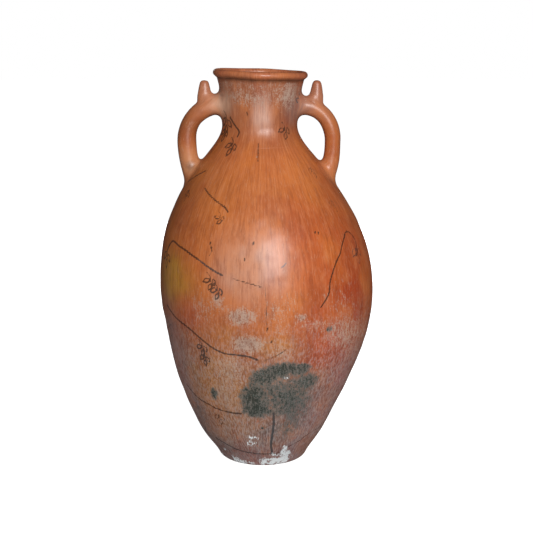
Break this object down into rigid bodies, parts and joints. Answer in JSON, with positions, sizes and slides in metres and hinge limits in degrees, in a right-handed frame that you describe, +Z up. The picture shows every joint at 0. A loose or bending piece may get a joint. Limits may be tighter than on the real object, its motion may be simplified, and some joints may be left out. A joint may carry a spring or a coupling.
{
  "type": "two-handled water jar",
  "caption": "Hand-built earthenware amphora for storing and carrying water, with a full belly, narrow neck, round side handles and a rope nub on each handle.",
  "frame": {"origin": "centre of the flat resting face on the floor", "axes": "+Z up along the jar's axis, handles on -X (left) and +X (right), front towards -Y"},
  "size_m": [0.382, 0.3818, 0.7],
  "materials": {
    "burnished_clay": "burnished, satin gloss",
    "neck_clay": "burnished, worn",
    "handle_clay": "burnished by hand",
    "collar_clay": "smeared, satin",
    "lower_clay": "matte, smoke-marked"
  },
  "bodies": {
    "root": {"base_disc": "lower_clay", "heel_ring": "lower_clay", "flank_ring": "lower_clay", "waist_ring": "burnished_clay", "belly_ring": "burnished_clay", "shoulder_ring": "burnished_clay", "neck_ring": "neck_clay", "lip_coil": "burnished_clay", "left_handle": "handle_clay", "right_handle": "handle_clay", "left_lug": "handle_clay", "right_lug": "handle_clay", "left_upper_collar": "collar_clay", "right_upper_collar": "collar_clay", "left_lower_collar": "collar_clay", "right_lower_collar": "collar_clay"}
  },
  "joints": []
}
